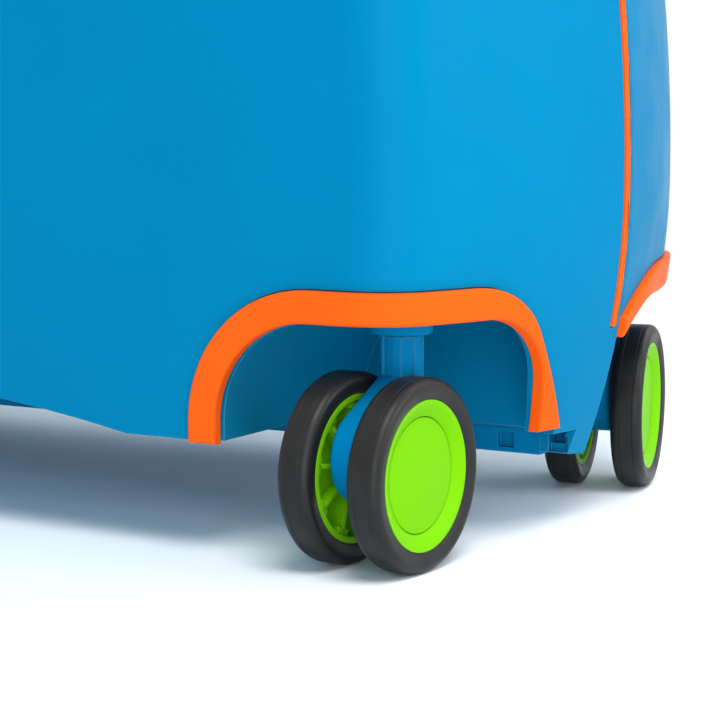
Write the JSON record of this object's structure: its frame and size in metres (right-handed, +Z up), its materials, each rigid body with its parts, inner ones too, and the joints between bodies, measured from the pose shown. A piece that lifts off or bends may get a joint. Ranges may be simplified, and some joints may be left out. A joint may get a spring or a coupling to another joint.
{
  "type": "ride on suitcase",
  "caption": "Child's hard shell ride on suitcase with a saddle top, a keel hinge, turning latches, bow handles and swivelling twin wheel casters in arched corner wells.",
  "frame": {"origin": "on the floor below the middle of the case", "axes": "+X to the front along the seam, +Y to the left half, +Z up"},
  "size_m": [0.4734, 0.2364, 0.3369],
  "materials": {
    "shell": "gloss",
    "frame": "gloss",
    "trim": "gloss",
    "wheel": "gloss",
    "tyre": "matte",
    "steel": "satin"
  },
  "bodies": {
    "right_half": {"front_handle": "trim", "front_right_arch_trim": "trim", "handle_screws": "steel", "hinge_pin": "steel", "latch_bases": "frame", "latch_screws": "steel", "rear_handle": "trim", "rear_right_arch_trim": "trim", "right_hinge_rail": "frame", "right_shell": "shell", "right_swivel_housings": "frame", "rim_seal": "trim", "tow_eyes": "trim"},
    "left_half": {"front_left_arch_trim": "trim", "latch_keepers": "trim", "left_hinge_rail": "frame", "left_shell": "shell", "left_swivel_housings": "frame", "rear_left_arch_trim": "trim"},
    "front_latch": {"front_latch_cam": "trim"},
    "rear_latch": {"rear_latch_cam": "trim"},
    "front_right_caster": {"front_right_fork": "frame", "front_right_kingpin": "steel", "front_right_axle": "steel"},
    "front_right_outer_wheel": {"front_right_outer_tyre": "tyre", "front_right_outer_hub": "wheel", "front_right_outer_cap": "wheel"},
    "front_right_inner_wheel": {"front_right_inner_tyre": "tyre", "front_right_inner_hub": "wheel", "front_right_inner_cap": "wheel"},
    "front_left_caster": {"front_left_fork": "frame", "front_left_kingpin": "steel", "front_left_axle": "steel"},
    "front_left_outer_wheel": {"front_left_outer_tyre": "tyre", "front_left_outer_hub": "wheel", "front_left_outer_cap": "wheel"},
    "front_left_inner_wheel": {"front_left_inner_tyre": "tyre", "front_left_inner_hub": "wheel", "front_left_inner_cap": "wheel"},
    "rear_right_caster": {"rear_right_fork": "frame", "rear_right_kingpin": "steel", "rear_right_axle": "steel"},
    "rear_right_outer_wheel": {"rear_right_outer_tyre": "tyre", "rear_right_outer_hub": "wheel", "rear_right_outer_cap": "wheel"},
    "rear_right_inner_wheel": {"rear_right_inner_tyre": "tyre", "rear_right_inner_hub": "wheel", "rear_right_inner_cap": "wheel"},
    "rear_left_caster": {"rear_left_fork": "frame", "rear_left_kingpin": "steel", "rear_left_axle": "steel"},
    "rear_left_outer_wheel": {"rear_left_outer_tyre": "tyre", "rear_left_outer_hub": "wheel", "rear_left_outer_cap": "wheel"},
    "rear_left_inner_wheel": {"rear_left_inner_tyre": "tyre", "rear_left_inner_hub": "wheel", "rear_left_inner_cap": "wheel"}
  },
  "joints": [
    {"name": "case_hinge", "type": "hinge", "parent": "right_half", "child": "left_half", "pos_m": [0, 0, 0.026], "axis": [-1, 0, 0], "range_deg": [0, 90]},
    {"name": "front_latch_turn", "type": "hinge", "parent": "right_half", "child": "front_latch", "pos_m": [0.12204, -0.014, 0.318], "axis": [0, 0, 1], "range_deg": [0, 180]},
    {"name": "rear_latch_turn", "type": "hinge", "parent": "right_half", "child": "rear_latch", "pos_m": [-0.12204, -0.014, 0.318], "axis": [0, 0, 1], "range_deg": [0, 180]},
    {"name": "front_right_swivel", "type": "hinge", "parent": "right_half", "child": "front_right_caster", "pos_m": [0.191, -0.0775, 0.06], "axis": [0, 0, 1], "continuous": true},
    {"name": "front_right_outer_wheel_spin", "type": "hinge", "parent": "front_right_caster", "child": "front_right_outer_wheel", "pos_m": [0.20178, -0.09011, 0.028], "axis": [0.998, -0.0637, 0], "continuous": true},
    {"name": "front_right_inner_wheel_spin", "type": "hinge", "parent": "front_right_caster", "child": "front_right_inner_wheel", "pos_m": [0.1787, -0.08864, 0.028], "axis": [0.998, -0.0637, 0], "continuous": true},
    {"name": "front_left_swivel", "type": "hinge", "parent": "left_half", "child": "front_left_caster", "pos_m": [0.191, 0.0775, 0.06], "axis": [0, 0, 1], "continuous": true},
    {"name": "front_left_outer_wheel_spin", "type": "hinge", "parent": "front_left_caster", "child": "front_left_outer_wheel", "pos_m": [0.20495, 0.06851, 0.028], "axis": [0.9744, 0.225, 0], "continuous": true},
    {"name": "front_left_inner_wheel_spin", "type": "hinge", "parent": "front_left_caster", "child": "front_left_inner_wheel", "pos_m": [0.18241, 0.0633, 0.028], "axis": [0.9744, 0.225, 0], "continuous": true},
    {"name": "rear_right_swivel", "type": "hinge", "parent": "right_half", "child": "rear_right_caster", "pos_m": [-0.191, -0.0775, 0.06], "axis": [0, 0, 1], "continuous": true},
    {"name": "rear_right_outer_wheel_spin", "type": "hinge", "parent": "rear_right_caster", "child": "rear_right_outer_wheel", "pos_m": [-0.20495, -0.06851, 0.028], "axis": [-0.9744, -0.225, 0], "continuous": true},
    {"name": "rear_right_inner_wheel_spin", "type": "hinge", "parent": "rear_right_caster", "child": "rear_right_inner_wheel", "pos_m": [-0.18241, -0.0633, 0.028], "axis": [-0.9744, -0.225, 0], "continuous": true},
    {"name": "rear_left_swivel", "type": "hinge", "parent": "left_half", "child": "rear_left_caster", "pos_m": [-0.191, 0.0775, 0.06], "axis": [0, 0, 1], "continuous": true},
    {"name": "rear_left_outer_wheel_spin", "type": "hinge", "parent": "rear_left_caster", "child": "rear_left_outer_wheel", "pos_m": [-0.20178, 0.09011, 0.028], "axis": [-0.998, 0.0637, 0], "continuous": true},
    {"name": "rear_left_inner_wheel_spin", "type": "hinge", "parent": "rear_left_caster", "child": "rear_left_inner_wheel", "pos_m": [-0.1787, 0.08864, 0.028], "axis": [-0.998, 0.0637, 0], "continuous": true}
  ]
}
